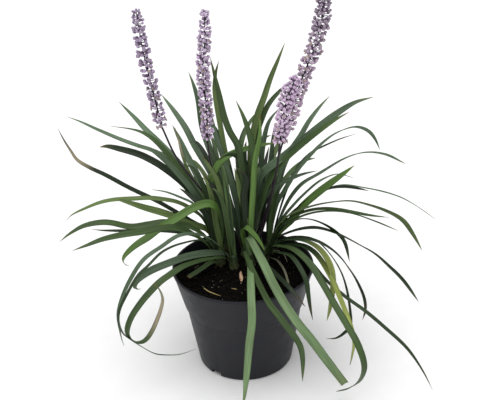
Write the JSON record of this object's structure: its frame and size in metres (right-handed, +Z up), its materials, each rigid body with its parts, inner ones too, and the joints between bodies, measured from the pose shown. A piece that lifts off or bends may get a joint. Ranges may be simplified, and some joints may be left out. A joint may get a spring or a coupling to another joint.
{
  "type": "potted liriope",
  "caption": "Liriope plant in flower in a round tapered nursery pot, with arching strap leaves in fans and upright spikes of lilac buds",
  "frame": {"origin": "centre of the pot's flat underside, on the surface that it stands on", "axes": "+Z up along the pot's axis, -Y towards the side where the most leaves hang over the rim, +X to that viewer's right"},
  "size_m": [0.4612, 0.3421, 0.4515],
  "materials": {
    "pot_plastic": "charcoal moulded plastic, satin",
    "potting_soil": "dark damp potting mix, matt and crumbly",
    "leaf": "living strap leaf, mid to dark green with a satin sheen",
    "flower_stalk": "living stalk, dark aubergine, smooth",
    "flower_buds": "lilac buds, waxy and matt"
  },
  "bodies": {
    "root": {"pot": "pot_plastic", "soil": "potting_soil", "fan_centre": "leaf", "fan_front": "leaf", "fan_right_front": "leaf", "fan_right": "leaf", "fan_right_back": "leaf", "fan_back": "leaf", "fan_left_back": "leaf", "fan_left": "leaf", "fan_left_low": "leaf", "fan_left_front": "leaf", "scape_left": "flower_stalk", "scape_centre": "flower_stalk", "scape_right_long": "flower_stalk", "scape_right_short": "flower_stalk", "head_left": "flower_buds", "head_centre": "flower_buds", "head_right_long": "flower_buds", "head_right_short": "flower_buds"}
  },
  "joints": []
}
